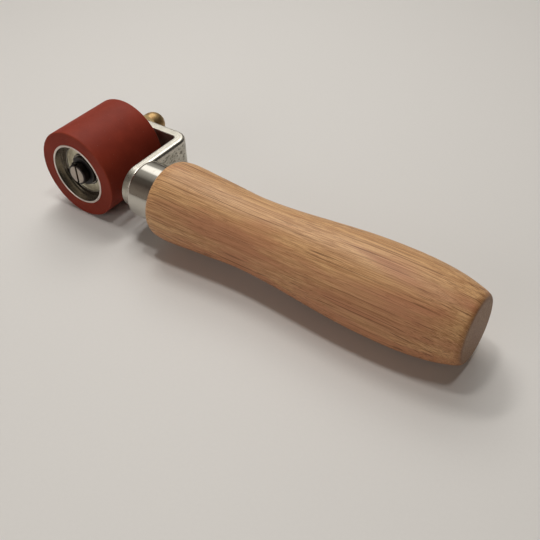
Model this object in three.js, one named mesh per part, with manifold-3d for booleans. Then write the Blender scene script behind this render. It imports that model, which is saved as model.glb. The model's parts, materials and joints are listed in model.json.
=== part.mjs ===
// One-sided seam roller: a silicone roller on two ball bearings, a slotted axle,
// an L-bent flat bar, a drawn ferrule and a turned beech handle.
// Millimetres, +Z up. +X runs along the handle, +Y along the axle away from its slotted end.
import * as THREE from 'three';
import * as BufferGeometryUtils from 'three/addons/utils/BufferGeometryUtils.js';
import Module from 'manifold-3d';

const wasm = await Module();
wasm.setup();

// ---- driving dimensions ----
const fit = 0.15; // gap kept between pieces that touch

const roller = { radius: 17, width: 28, edge: 0.6 };
const core = { outer: 11.85, seat: 11.07, shoulder: 9.8 };
const bearing = { bore: 8, outside: 22, width: 7, recess: 4, pitch: 7.5, ball: 1.985, balls: 7 };
const race = { innerLand: 6.0, outerLand: 9.2, groove: 2.1 };
const shield = { inner: 6.25, outer: 9.05, thick: 0.4, inset: 0.3 };
const cage = { inner: 7.1, outer: 7.9, width: 5.2, pocket: 2.12 };

const axle = { radius: 4, chamfer: 0.55, slotWide: 0.9, slotDeep: 1.3, stub: 3, stubEnd: 27.6 };
const clip = { groove: 3.7, inner: 3.85, outer: 5.5, thick: 1, gapAt: 150, gapHalf: 12 };

const bar = { thick: 4, width: 16, bendInside: 1.5, armFace: 16.1, plateFace: 22.4 };
const nut = { flats: 10, hexHigh: 5, dome: 4.75, high: 12, bore: 3.15, boreDeep: 8.6 };

const handle = { offset: -6.1, shoulder: 37.7, end: 152.3, buttFlat: 10, tenon: 9.2, tiltDeg: 0.915 };
// [place along the handle, radius] where the turned side changes: shoulder, swell, waist, bulge, butt
const handleOutline = [[37.7, 12.1], [38.6, 13.3], [40.4, 13.85], [45, 14.0], [60, 13.03], [73, 12.25],
  [86, 12.67], [100, 13.8], [112, 14.7], [123, 15.0], [134, 14.7], [143, 13.6], [149, 12.1], [151.6, 11.1]];
const ferrule = { outer: 10.2, wall: 0.9, corner: 1.5 };
const screw = { shank: 2.3, head: 4.5, headHigh: 2.6, end: 72, tip: 6, slotWide: 1.1, slotDeep: 1.2 };

// ---- materials ----
const finish = (color, roughness, metalness) => new THREE.MeshStandardMaterial({ color, roughness, metalness });
const rubber = () => finish(0x8a3f31, 0.75, 0);
const beech = () => finish(0xb08058, 0.5, 0);
const chrome = () => finish(0xd6d6d0, 0.15, 1);
const zinc = () => finish(0xb9b5a4, 0.4, 1);
const steel = () => finish(0x8e8c86, 0.3, 1);
const blackSteel = () => finish(0x1c1c20, 0.45, 0.8);
const brass = () => finish(0xb08a45, 0.3, 1);
const pressedSteel = () => finish(0x9a978f, 0.35, 1);

// ---- helpers ----
const toSolid = (geometry) => {
  const bare = geometry.index ? geometry.toNonIndexed() : geometry.clone();
  bare.deleteAttribute('normal');
  bare.deleteAttribute('uv');
  const merged = BufferGeometryUtils.mergeVertices(bare, 1e-5);
  const vertProperties = new Float32Array(merged.attributes.position.array);
  const triVerts = new Uint32Array(merged.index.array);
  return new wasm.Manifold(new wasm.Mesh({ numProp: 3, vertProperties, triVerts }));
};

const toGeometry = (solid) => {
  const mesh = solid.getMesh();
  const geometry = new THREE.BufferGeometry();
  geometry.setAttribute('position', new THREE.BufferAttribute(mesh.vertProperties, 3));
  geometry.setIndex(new THREE.BufferAttribute(mesh.triVerts, 1));
  geometry.computeVertexNormals();
  return geometry;
};

// a turned piece about Y from [radius, height] corners; a profile off the axis closes on itself
const turned = (corners, segments = 40) => {
  const profile = corners.map(([radius, height]) => new THREE.Vector2(radius, height));
  const onAxis = corners[0][0] === 0 && corners[corners.length - 1][0] === 0;
  if (!onAxis) profile.push(profile[0].clone());
  return new THREE.LatheGeometry(profile, segments);
};

// the same, about X: heights of the profile become places along the handle
const turnedAlongX = (corners, segments = 40) => turned(corners, segments).rotateZ(-Math.PI / 2);

// a plain washer or sleeve between two heights
const sleeve = (inner, outer, low, high, segments = 40) =>
  turned([[outer, low], [outer, high], [inner, high], [inner, low]], segments);

const arcPoints = (x, y, radius, fromDeg, toDeg, steps) => {
  const points = [];
  for (let i = 0; i <= steps; i += 1) {
    const angle = THREE.MathUtils.degToRad(fromDeg + ((toDeg - fromDeg) * i) / steps);
    points.push([x + radius * Math.cos(angle), y + radius * Math.sin(angle)]);
  }
  return points;
};

const outline = (points) => new THREE.Shape(points.map(([x, y]) => new THREE.Vector2(x, y)));

const prism = (points, depth) =>
  new THREE.ExtrudeGeometry(outline(points), { depth, bevelEnabled: false, steps: 1 });

const tool = new THREE.Group();

const add = (name, geometry, material) => {
  const mesh = new THREE.Mesh(geometry, material);
  mesh.name = name;
  tool.add(mesh);
  return mesh;
};

// ---- roller ----
const half = roller.width / 2;
const bearingCentre = half - bearing.recess - bearing.width / 2;

const rubberSleeve = () => {
  const { radius, edge } = roller;
  const inner = core.outer + fit;
  return turned([[radius - edge, -half], [radius, edge - half], [radius, half - edge], [radius - edge, half],
    [inner, half], [inner, -half]], 64);
};

// a tube with a shoulder in the middle that the outer races seat against
const coreTube = () => {
  const shoulder = bearingCentre - bearing.width / 2 - fit;
  return turned([[core.outer, -half], [core.outer, half], [core.seat, half], [core.seat, shoulder],
    [core.shoulder, shoulder], [core.shoulder, -shoulder], [core.seat, -shoulder], [core.seat, -half]], 40);
};

// ---- bearings, made about their own centre and then moved along the axle ----
const grooveArc = (fromDeg, toDeg) => arcPoints(bearing.pitch, 0, race.groove, fromDeg, toDeg, 3);

const innerRace = () => {
  const side = bearing.width / 2;
  const rise = THREE.MathUtils.radToDeg(Math.acos((bearing.pitch - race.innerLand) / race.groove));
  return turned([[race.innerLand, -side], ...grooveArc(180 + rise, 180 - rise),
    [race.innerLand, side], [bearing.bore / 2 + fit, side], [bearing.bore / 2 + fit, -side]], 32);
};

const outerRace = () => {
  const side = bearing.width / 2;
  const rise = THREE.MathUtils.radToDeg(Math.acos((race.outerLand - bearing.pitch) / race.groove));
  return turned([[bearing.outside / 2, -side], [bearing.outside / 2, side], [race.outerLand, side],
    ...grooveArc(rise, -rise), [race.outerLand, -side]], 40);
};

const shieldRing = (side) => {
  const near = bearing.width / 2 - shield.inset - shield.thick;
  const low = side < 0 ? -near - shield.thick : near;
  return sleeve(shield.inner, shield.outer, low, low + shield.thick, 32);
};

// a ring with one round pocket for each ball
const cageRing = () => {
  let solid = toSolid(sleeve(cage.inner, cage.outer, -cage.width / 2, cage.width / 2, 28));
  for (let i = 0; i < bearing.balls; i += 1) {
    const pocket = new THREE.CylinderGeometry(cage.pocket, cage.pocket, 4, 10);
    pocket.rotateX(Math.PI / 2);
    pocket.translate(0, 0, bearing.pitch);
    pocket.rotateY((i * 2 * Math.PI) / bearing.balls);
    solid = solid.subtract(toSolid(pocket));
  }
  return toGeometry(solid);
};

const addBearing = (side, centre) => {
  add(`${side}_inner_race`, innerRace().translate(0, centre, 0), steel());
  add(`${side}_outer_race`, outerRace().translate(0, centre, 0), steel());
  add(`${side}_outboard_shield`, shieldRing(Math.sign(centre)).translate(0, centre, 0), zinc());
  add(`${side}_inboard_shield`, shieldRing(-Math.sign(centre)).translate(0, centre, 0), zinc());
  add(`${side}_ball_cage`, cageRing().translate(0, centre, 0), pressedSteel());
  for (let i = 0; i < bearing.balls; i += 1) {
    const ball = new THREE.SphereGeometry(bearing.ball, 8, 6);
    ball.translate(0, 0, bearing.pitch);
    ball.rotateY((i * 2 * Math.PI) / bearing.balls);
    add(`${side}_ball_${i + 1}`, ball.translate(0, centre, 0), chrome());
  }
};

// ---- axle and its small parts ----
const clipFace = -half + bearing.recess - fit;
const shoulderFace = bar.armFace - fit;

const axleShaft = () => {
  const { radius, chamfer, stub, stubEnd } = axle;
  const grooveLow = clipFace - clip.thick - fit;
  const shaft = toSolid(turned([[0, -half], [radius - chamfer, -half], [radius, chamfer - half],
    [radius, grooveLow], [clip.groove, grooveLow], [clip.groove, clipFace + fit / 2],
    [radius, clipFace + fit / 2], [radius, shoulderFace], [stub, shoulderFace],
    [stub, stubEnd - 0.6], [stub - 0.6, stubEnd], [0, stubEnd]], 32));
  const slot = new THREE.BoxGeometry(axle.slotWide, 2 * axle.slotDeep, 4 * radius);
  return toGeometry(shaft.subtract(toSolid(slot.translate(0, -half, 0))));
};

// a plain open ring that snaps into the axle's groove
const retainingRing = () => {
  const { inner, outer, thick, gapAt, gapHalf } = clip;
  const first = gapAt + gapHalf;
  const last = gapAt - gapHalf + 360;
  const ring = prism([...arcPoints(0, 0, outer, first, last, 30), ...arcPoints(0, 0, inner, last, first, 30)],
    thick);
  return ring.rotateX(Math.PI / 2).translate(0, clipFace, 0);
};

const capNut = () => {
  const { flats, hexHigh, dome, high, bore, boreDeep } = nut;
  const corner = flats / Math.sqrt(3);
  const hex = new THREE.CylinderGeometry(corner, corner, hexHigh, 6).translate(0, hexHigh / 2, 0);
  const domeArc = arcPoints(0, high - dome, dome, 0, 90, 6);
  domeArc[domeArc.length - 1][0] = 0;
  const top = turned([[0, hexHigh / 2], [dome, hexHigh / 2], ...domeArc], 32);
  const hole = turned([[0, -1], [bore, -1], [bore, boreDeep], [0, boreDeep + 1.5]], 24);
  const solid = toSolid(hex).add(toSolid(top)).subtract(toSolid(hole));
  return toGeometry(solid).translate(0, bar.armFace + bar.thick + fit, 0);
};

// ---- bracket: one flat bar bent square, the plate behind the roller and the arm beside it ----
const bracketBar = () => {
  const { thick, width, bendInside, armFace, plateFace } = bar;
  const bend = [plateFace - bendInside, armFace - bendInside];
  const armEnd = -width / 2;
  const plateEnd = handle.offset - width / 2;
  const plan = [[armEnd, armFace], ...arcPoints(...bend, bendInside, 90, 0, 4), [plateFace, plateEnd],
    [plateFace + thick, plateEnd], ...arcPoints(...bend, bendInside + thick, 0, 90, 6),
    [armEnd, armFace + thick]];
  const long = prism(plan, width).translate(0, 0, -width / 2);
  const reach = 60;
  const roundEnd = (at) => prism([[reach, -width / 2], [reach, width / 2],
    ...arcPoints(at, 0, width / 2, 90, 270, 16)], 2 * reach).translate(0, 0, -reach);
  const armRound = roundEnd(0).rotateX(Math.PI / 2);
  const plateRound = roundEnd(handle.offset).rotateX(Math.PI / 2).rotateZ(Math.PI / 2);
  return { long, armRound, plateRound };
};

const bracket = () => {
  const { long, armRound, plateRound } = bracketBar();
  const { thick, armFace, plateFace } = bar;
  const axleHole = turned([[0, armFace - 5], [axle.stub + fit, armFace - 5],
    [axle.stub + fit, armFace + 10], [0, armFace + 10]], 24);
  const sink = screw.headHigh + fit;
  const screwHole = turnedAlongX([[0, plateFace - 1], [screw.head + 1 + fit, plateFace - 1],
    [screw.shank + fit, plateFace + sink], [screw.shank + fit, plateFace + thick + 1],
    [0, plateFace + thick + 1]], 24).translate(0, handle.offset, 0);
  return toGeometry(toSolid(long).intersect(toSolid(armRound)).intersect(toSolid(plateRound))
    .subtract(toSolid(axleHole)).subtract(toSolid(screwHole)));
};

// ---- handle side ----
const ferruleFace = bar.plateFace + bar.thick + fit;

const ferruleCap = () => {
  const { outer, wall, corner } = ferrule;
  const inside = outer - wall;
  return turnedAlongX([[screw.shank + 0.5, ferruleFace],
    ...arcPoints(outer - corner, ferruleFace + corner, corner, -90, 0, 4),
    [outer, handle.shoulder - fit], [inside, handle.shoulder - fit],
    [inside, ferruleFace + corner], [inside - corner / 2, ferruleFace + wall],
    [screw.shank + 0.5, ferruleFace + wall]], 40).translate(0, handle.offset, 0);
};

const woodHandle = () => {
  const curve = new THREE.SplineCurve(handleOutline.map(([place, radius]) => new THREE.Vector2(radius, place)));
  const side = curve.getPoints(22).map((point) => [point.x, point.y]);
  const tenonEnd = ferruleFace + ferrule.wall + fit;
  const pilot = screw.shank + fit;
  return turnedAlongX([[pilot, tenonEnd], [handle.tenon - 0.8, tenonEnd], [handle.tenon, tenonEnd + 0.8],
    [handle.tenon, handle.shoulder], ...side, [handle.buttFlat, handle.end], [0, handle.end],
    [0, screw.end + 3], [pilot, screw.end + 1]], 40)
    .translate(0, handle.offset, 0);
};

const handleScrew = () => {
  const { shank, head, headHigh, end, tip, slotWide, slotDeep } = screw;
  const face = bar.plateFace + 0.1;
  const body = turnedAlongX([[0, face], [head, face], [shank, face + headHigh],
    [shank, end - tip], [0.3, end], [0, end]], 24);
  const slot = new THREE.BoxGeometry(2 * slotDeep, slotWide, 4 * head).translate(face, 0, 0);
  return toGeometry(toSolid(body).subtract(toSolid(slot))).translate(0, handle.offset, 0);
};

// ---- assembly ----
add('rubber_sleeve', rubberSleeve(), rubber());
add('core_tube', coreTube(), zinc());
addBearing('near', -bearingCentre);
addBearing('far', bearingCentre);

const inboard = bearingCentre - bearing.width / 2 - fit;
const outboard = bearingCentre + bearing.width / 2 + fit;
add('bearing_spacer', sleeve(axle.radius + fit, race.innerLand, -inboard, inboard, 32), steel());
add('arm_spacer', sleeve(axle.radius + fit, race.innerLand, outboard, shoulderFace - fit, 32), steel());
add('axle', axleShaft(), steel());
add('retaining_ring', retainingRing(), blackSteel());
add('cap_nut', capNut(), brass());

add('bracket', bracket(), chrome());
add('ferrule', ferruleCap(), chrome());
add('handle_screw', handleScrew(), zinc());
add('wood_handle', woodHandle(), beech());

// the tool lies on its roller and on the swell of its handle
const group = new THREE.Group();
tool.rotation.y = THREE.MathUtils.degToRad(handle.tiltDeg);
group.add(tool);
group.updateMatrixWorld(true);
const box = new THREE.Box3().setFromObject(group, true);
const centre = box.getCenter(new THREE.Vector3());
group.position.set(-centre.x, -centre.y, -box.min.z);

export default group;
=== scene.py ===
import json
import math

import bmesh
import bpy
import numpy as np
from mathutils import Matrix, Vector


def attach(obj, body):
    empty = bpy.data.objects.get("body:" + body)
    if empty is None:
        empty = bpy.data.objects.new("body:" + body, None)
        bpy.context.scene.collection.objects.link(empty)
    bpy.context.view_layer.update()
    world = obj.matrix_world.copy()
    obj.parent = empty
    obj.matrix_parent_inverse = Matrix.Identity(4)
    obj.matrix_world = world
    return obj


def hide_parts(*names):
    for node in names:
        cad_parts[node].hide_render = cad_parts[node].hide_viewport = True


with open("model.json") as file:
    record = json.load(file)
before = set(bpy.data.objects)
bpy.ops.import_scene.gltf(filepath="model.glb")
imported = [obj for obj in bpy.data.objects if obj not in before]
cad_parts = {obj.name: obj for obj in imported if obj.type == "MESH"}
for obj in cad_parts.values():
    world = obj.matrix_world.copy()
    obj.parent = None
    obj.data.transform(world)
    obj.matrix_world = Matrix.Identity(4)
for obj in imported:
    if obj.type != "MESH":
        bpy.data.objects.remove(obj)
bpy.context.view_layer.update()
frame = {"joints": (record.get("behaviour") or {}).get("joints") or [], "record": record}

mm = 0.001

# the tool's own axes: along the grip, along the axle, and up from both, in mm from the roller's centre
rollerCentre = np.array(next(j["pos_m"] for j in frame["joints"] if j["name"] == "roller_spin"))
butt = frame["record"]["mounts"][0]
gripWay = np.array(butt["axis"]) / np.linalg.norm(butt["axis"])
axleWay = np.array([0.0, 1.0, 0.0])
upWay = np.cross(gripWay, axleWay)
gripTilt = math.atan2(-gripWay[2], gripWay[0])
gripAcross = (butt["pos_m"][1] - rollerCentre[1]) / mm  # the grip's axis beside the roller's middle


def toWorld(local):
    # world point = centre + x * grip way + y * axle way + z * up way
    return rollerCentre + mm * (local @ np.stack([gripWay, axleWay, upWay]))


stage = {"floorSize": 3.0, "floorTone": (0.735, 0.714, 0.684), "floorRough": 0.62}
room = {
    "brightWay": (-0.36, 0.52, 0.775),
    "tones": [(0.0, (0.17, 0.14, 0.12)), (0.38, (0.25, 0.215, 0.185)), (0.50, (0.23, 0.195, 0.165)),
              (0.62, (0.16, 0.13, 0.11)), (0.71, (0.09, 0.072, 0.060)), (0.84, (0.11, 0.096, 0.083)),
              (0.915, (0.38, 0.36, 0.33)), (0.962, (0.56, 0.545, 0.51)), (0.974, (1.75, 1.72, 1.65)),
              (1.0, (2.1, 2.07, 2.0))],
    "gripSide": [(0.45, 1.0), (0.66, 0.10)],
}
lights = [  # the slant of each lamp's direction sets where its shadow falls
    {"name": "rightSpot", "way": (0.22, -0.03, 1.0), "away": 1.0, "size": (0.11, 0.11), "power": 1.18},
    {"name": "leftSpot", "way": (-0.12, -0.03, 1.0), "away": 0.6, "size": (0.066, 0.066), "power": 0.50},
    {"name": "longLamp", "way": (-0.42, 0.26, 1.0), "away": 0.5, "size": (0.17, 0.045), "power": 0.50},
    {"name": "farLamp", "way": (-0.60, 0.75, 1.0), "away": 0.5, "size": (0.16, 0.12), "power": 0.15},
    {"name": "nearLamp", "way": (-0.15, -1.0, 0.50), "away": 0.8, "size": (0.5, 0.35), "power": 0.90},
]
lampTone = (1.0, 0.98, 0.955)
lens = {
    "azimuth": 37.2, "elevation": 41.1, "roll": -2.9, "distance": 0.2699,
    "aimAlong": 77.6, "aimAcross": -3.3, "focal": 52.83, "sensor": 36.0,
}


def placed(name, data):
    made = bpy.data.objects.new(name, data)
    bpy.context.scene.collection.objects.link(made)
    return made


def node(tree, kind, **sockets):
    # one shader node; a socket's name has underscores for spaces, and another node's output is linked
    made = tree.nodes.new(kind)
    for key, value in sockets.items():
        plug = made.inputs.get(key.replace("_", " "))
        if plug is None:
            setattr(made, key, value)
        elif isinstance(value, bpy.types.NodeSocket):
            tree.links.new(value, plug)
        else:
            plug.default_value = value
    return made


def newMaterial(name):
    made = bpy.data.materials.new(name)
    made.use_nodes = True
    made.node_tree.nodes.clear()
    return made, made.node_tree


def toolCoords(tree):
    # Object coordinates turned into the tool's own axes, in millimetres from the roller's centre
    place = node(tree, "ShaderNodeTexCoord").outputs["Object"]
    turned = node(tree, "ShaderNodeMapping", vector_type="TEXTURE", Vector=place, Scale=(mm, mm, mm),
                  Location=tuple(rollerCentre), Rotation=(0.0, gripTilt, 0.0))
    return turned.outputs["Vector"]


def noise(tree, vector, scale, detail=4.0, rough=0.55, warp=0.0, shift=(0.0, 0.0, 0.0)):
    # a scale of three numbers draws the pattern out on each axis
    if isinstance(scale, tuple):
        drawn = node(tree, "ShaderNodeMapping", Vector=vector, Scale=scale, Location=shift)
        vector, scale = drawn.outputs["Vector"], 1.0
    made = node(tree, "ShaderNodeTexNoise", Vector=vector, Scale=scale, Detail=detail, Roughness=rough,
                Distortion=warp)
    return made.outputs["Fac"]


def ramp(tree, value, stops):
    # stops are (place, grey or colour)
    made = node(tree, "ShaderNodeValToRGB", Fac=value)
    bar = made.color_ramp
    while len(bar.elements) < len(stops):
        bar.elements.new(0.5)
    for spot, (place, tone) in zip(bar.elements, stops):
        spot.position = place
        spot.color = (tone, tone, tone, 1.0) if isinstance(tone, float) else (*tone, 1.0)
    return made.outputs["Color"]


def mixTone(tree, share, first, second, blend="MIX"):
    made = node(tree, "ShaderNodeMix", data_type="RGBA", blend_type=blend)
    for plug, value in ((0, share), (6, first), (7, second)):
        if isinstance(value, bpy.types.NodeSocket):
            tree.links.new(value, made.inputs[plug])
        elif plug == 0:
            made.inputs[plug].default_value = value
        else:
            made.inputs[plug].default_value = (*value, 1.0)
    return made.outputs[2]


def times(tree, first, second):
    return sums(tree, "MULTIPLY", first, second)


def timesPlus(tree, first, second, third):
    return sums(tree, "MULTIPLY_ADD", first, second, third)


def edgeTone(tree, tone, share, colour):
    # the colour comes in on rounded edges, where a mesh's edge mark is 1
    edge = node(tree, "ShaderNodeAttribute", attribute_name="edge").outputs["Fac"]
    return mixTone(tree, times(tree, edge, share), tone, colour)


def layered(tree, tone, layers):
    # each layer (pattern, low, high, share, colour) comes in from none at low to its share at high
    for pattern, low, high, share, colour in layers:
        tone = mixTone(tree, ramp(tree, pattern, [(low, 0.0), (high, share)]), tone, colour)
    return tone


def sums(tree, kind, first, second=None, third=None):
    made = node(tree, "ShaderNodeMath", operation=kind)
    for plug, value in enumerate((first, second, third)):
        if isinstance(value, bpy.types.NodeSocket):
            tree.links.new(value, made.inputs[plug])
        elif value is not None:
            made.inputs[plug].default_value = value
    return made.outputs[0]


def split(tree, vector):
    return node(tree, "ShaderNodeSeparateXYZ", Vector=vector).outputs


def combined(tree, **parts):
    return node(tree, "ShaderNodeCombineXYZ", **parts).outputs[0]


def distance(tree, a, b):
    # the square root of a * a + b * b
    return sums(tree, "SQRT", sums(tree, "ADD", times(tree, a, a), times(tree, b, b)))


def roundCoords(tree, vector, about="axle"):
    # (distance from an axis, place along it, 0): patterns on it run in circles round the axle or the grip
    x, y, z = split(tree, vector)
    if about == "axle":
        return combined(tree, X=distance(tree, x, z), Y=y)
    return combined(tree, X=distance(tree, sums(tree, "SUBTRACT", y, gripAcross), z), Y=x)


def surface(tree, tone, rough, height, bump, reach, **fixed):
    # the shader itself; fixed numbers go on its own sockets
    relief = node(tree, "ShaderNodeBump", Height=height, Strength=bump, Distance=reach)
    shader = node(tree, "ShaderNodeBsdfPrincipled", Base_Color=tone, Roughness=rough,
                  Normal=relief.outputs["Normal"], **fixed)
    node(tree, "ShaderNodeOutputMaterial", Surface=shader.outputs[0])


def floorMaterial():
    # pale boards with a faint cloud and specks
    made, tree = newMaterial("paleLaminate")
    place = node(tree, "ShaderNodeTexCoord").outputs["Object"]
    speck = noise(tree, place, 900.0, 2.0)
    shaded, dark = (tuple(c * share for c in stage["floorTone"]) for share in (0.97, 0.8))
    tone = mixTone(tree, noise(tree, place, 3.0, 3.0), shaded, stage["floorTone"])
    tone = layered(tree, tone, [(speck, 0.3, 0.7, 0.06, dark)])
    surface(tree, tone, stage["floorRough"], speck, 0.08, 0.0002)
    return made


def buildStage():
    half = stage["floorSize"] / 2
    floorMesh = bpy.data.meshes.new("floor")
    corners = [(-half, -half, 0), (half, -half, 0), (half, half, 0), (-half, half, 0)]
    floorMesh.from_pydata(corners, [], [(0, 1, 2, 3)])
    floorMesh.materials.append(floorMaterial())
    placed("floor", floorMesh)
    for entry in lights:
        data = bpy.data.lights.new(entry["name"], "AREA")
        data.shape = "RECTANGLE"
        data.size, data.size_y = entry["size"]
        data.energy, data.color = entry["power"], lampTone
        lamp = placed(entry["name"], data)
        lamp.location = Vector(entry["way"]).normalized() * entry["away"]
        lamp.rotation_euler = (-lamp.location).to_track_quat("-Z", "Y").to_euler()


def buildSky():
    # the room: bright overhead and on the far side, dim low down and on the side of the grip
    sky = bpy.data.worlds.new("softRoom")
    sky.use_nodes = True
    tree = sky.node_tree
    way = node(tree, "ShaderNodeTexCoord").outputs["Generated"]
    facing = node(tree, "ShaderNodeVectorMath", operation="DOT_PRODUCT")
    facing.inputs[1].default_value = Vector(room["brightWay"]).normalized()
    tree.links.new(way, facing.inputs[0])
    share = timesPlus(tree, facing.outputs["Value"], 0.5, 0.5)
    tone = ramp(tree, share, room["tones"])
    shade = ramp(tree, timesPlus(tree, split(tree, way)[0], 0.5, 0.5), room["gripSide"])
    tone = mixTone(tree, 1.0, tone, shade, "MULTIPLY")
    tree.links.new(tone, tree.nodes["Background"].inputs["Color"])
    bpy.context.scene.world = sky


def buildCamera():
    # the camera stands back from its aim along (sin a cos e, -cos a cos e, sin e), rolled about that line
    a, e, r = (math.radians(lens[k]) for k in ("azimuth", "elevation", "roll"))
    back = Vector((math.sin(a) * math.cos(e), -math.cos(a) * math.cos(e), math.sin(e)))
    right = Vector((0, 0, 1)).cross(back).normalized()
    up = back.cross(right)
    right, up = math.cos(r) * right + math.sin(r) * up, math.cos(r) * up - math.sin(r) * right
    aim = Vector((rollerCentre[0] + lens["aimAlong"] * mm, rollerCentre[1] + lens["aimAcross"] * mm, 0.0))
    data = bpy.data.cameras.new("viewCamera")
    data.lens, data.sensor_width = lens["focal"], lens["sensor"]
    data.clip_start, data.clip_end = 0.005, 20.0
    camera = placed("viewCamera", data)
    turn = Matrix((right, up, back)).transposed().to_4x4()
    camera.matrix_world = Matrix.Translation(aim + back * lens["distance"]) @ turn
    bpy.context.scene.camera = camera


buildStage()
buildSky()
buildCamera()
bpy.context.scene.view_settings.view_transform = "Standard"
print("stage, lights and camera placed")


def softOutline(corners, closed=True, steps=5, margin=0.12):
    # corners (a, b, radius): each becomes an arc tangent to its two sides, with a point a margin outside
    # each end. The third column returned is near 1 on the arcs and 0 elsewhere.
    spots = np.array([c[:2] for c in corners], float)
    out = []
    for i, (a, b, radius) in enumerate(corners):
        here = spots[i]
        if radius == 0 or (not closed and i in (0, len(corners) - 1)):
            out.append([[a, b, 0.0]])
            continue
        before, after = spots[i - 1] - here, spots[(i + 1) % len(corners)] - here
        before, after = before / np.linalg.norm(before), after / np.linalg.norm(after)
        half = math.acos(np.clip(before @ after, -1, 1)) / 2
        middle = here + (before + after) / np.linalg.norm(before + after) * radius / math.sin(half)
        start, end = here + before * radius / math.tan(half), here + after * radius / math.tan(half)
        sweep = math.pi - 2 * half
        t = np.linspace(0, 1, steps + 1)[:, None]
        swing = np.sin((1 - t) * sweep) * (start - middle) + np.sin(t * sweep) * (end - middle)
        arc = middle + swing / math.sin(sweep)
        out.append([[*(start + before * margin), 0.0]])
        out.append(np.hstack([arc, np.sin(np.pi * np.clip(t, 0.15, 0.85))]))
        out.append([[*(end + after * margin), 0.0]])
    return np.vstack(out)


def gridQuads(rows, cols, wrapRows):
    # one quad for each cell of a grid whose columns, and rows if wrapRows, close on themselves
    index = np.arange(rows * cols).reshape(rows, cols)
    here = index if wrapRows else index[:-1]
    below = np.roll(index, -1, 0) if wrapRows else index[1:]
    return np.stack([here, np.roll(here, -1, 1), np.roll(below, -1, 1), below], -1)


def gridMesh(name, points, wrapRows=False, edge=None):
    quads = gridQuads(*points.shape[:2], wrapRows)
    return quadMesh(name, toWorld(points.reshape(-1, 3)), quads.reshape(-1, 4), edge)


def quadMesh(name, points, quads, edge=None):
    # a mesh from points and quads, with doubles merged and faces turned outwards
    mesh = bpy.data.meshes.new(name)
    mesh.vertices.add(len(points))
    mesh.vertices.foreach_set("co", points.astype(np.float32).ravel())
    mesh.loops.add(quads.size)
    mesh.loops.foreach_set("vertex_index", quads.astype(np.int32).ravel())
    mesh.polygons.add(len(quads))
    mesh.polygons.foreach_set("loop_start", np.arange(0, quads.size, 4, dtype=np.int32))
    mesh.update(calc_edges=True)
    marks = mesh.attributes.new("edge", "FLOAT", "POINT")
    edge = np.zeros(len(points)) if edge is None else edge.ravel()
    marks.data.foreach_set("value", edge.astype(np.float32))
    work = bmesh.new()
    work.from_mesh(mesh)
    bmesh.ops.remove_doubles(work, verts=work.verts, dist=2e-7)
    loose = [v for v in work.verts if not v.link_faces]
    bmesh.ops.delete(work, geom=loose, context="VERTS")
    bmesh.ops.recalc_face_normals(work, faces=work.faces)
    work.to_mesh(mesh)
    work.free()
    return mesh


def circle(steps):
    return np.linspace(0, 2 * np.pi, steps, endpoint=False)[None, :]


def spun(name, profile, about, turns, lift=None):
    # x = r cos t, z = r sin t about the axle, or y = r cos t, z = r sin t about the grip, for each profile
    # point (r, place, edge mark). A profile off the axis closes on itself. lift(r, place, t) may change r.
    t = circle(turns)
    r = np.repeat(profile[:, :1], turns, 1)
    place = np.repeat(profile[:, 1:2], turns, 1)
    if lift is not None:
        r = lift(r, place, t)
    if about == "axle":
        points = np.stack([r * np.cos(t), place, r * np.sin(t)], -1)
    else:
        points = np.stack([place, gripAcross + r * np.cos(t), r * np.sin(t)], -1)
    onAxis = profile[0, 0] == 0 and profile[-1, 0] == 0
    return gridMesh(name, points, wrapRows=not onAxis, edge=np.repeat(profile[:, 2:3], turns, 1))


def piece(name, mesh, body, look, cadNode, sharp=32):
    # an object at the origin that shows a mesh, rides on a body and stands for its CAD node
    mesh.materials.append(looks[look])
    mesh.shade_smooth()
    mesh.set_sharp_from_angle(angle=math.radians(sharp))
    made = placed(name, mesh)
    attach(made, body)
    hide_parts(cadNode)


def carve(mesh, cutter):
    # the mesh less the cutter, by an exact boolean
    base, tool = placed("base", mesh), placed("cutter", cutter)
    cut = base.modifiers.new("cut", "BOOLEAN")
    cut.operation, cut.solver, cut.object = "DIFFERENCE", "EXACT", tool
    done = bpy.data.meshes.new_from_object(base.evaluated_get(bpy.context.evaluated_depsgraph_get()))
    for spare in (base, tool):
        bpy.data.objects.remove(spare)
    done.materials.clear()
    return done


def prismMesh(outline, low, high, place):
    # an outline (a, b) carried from low to high, closed by a fan at each end; place(a, b, c) turns it
    ring = np.array(outline, float)
    middle = np.repeat(ring.mean(0)[None, :], len(ring), 0)
    rows = [(middle, low), (ring, low), (ring, high), (middle, high)]
    points = np.stack([place(flat[:, 0], flat[:, 1], np.full(len(flat), at)) for flat, at in rows])
    return gridMesh("cutter", points)


def sheetOutline(line, thick, radius=0.05):
    # both faces of a pressed sheet: its middle line moved half the thickness along the mean normals
    line = np.array(line, float)
    step = np.diff(line, axis=0)
    step = step / np.linalg.norm(step, axis=1)[:, None]
    normal = np.stack([-step[:, 1], step[:, 0]], 1)
    before, after = np.vstack([normal[:1], normal]), np.vstack([normal, normal[-1:]])
    mitre = (before + after) / (1 + (before * after).sum(1))[:, None]
    first, second = line + mitre * thick / 2, (line - mitre * thick / 2)[::-1]
    return softOutline([(a, b, radius) for a, b in np.vstack([first, second])], steps=3, margin=0.01)


def splineThrough(stops, steps):
    # a Catmull-Rom curve through the stops, whose ends are repeated
    p = np.vstack([stops[:1], stops, stops[-1:]]).astype(float)
    t = np.linspace(0, 1, steps, endpoint=False)[None, :, None]
    a, b, c, d = (p[i:len(p) - 3 + i, None, :] for i in range(4))
    curve = 0.5 * (2 * b + (c - a) * t + (2 * a - 5 * b + 4 * c - d) * t**2 + (3 * b - a - 3 * c + d) * t**3)
    return np.vstack([curve.reshape(-1, 2), p[-1:]])


def marked(points, edge=0.0):
    # points with an edge mark as their third column
    points = np.array(points, float)
    return np.hstack([points, np.full((len(points), 1), edge)])


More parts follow.
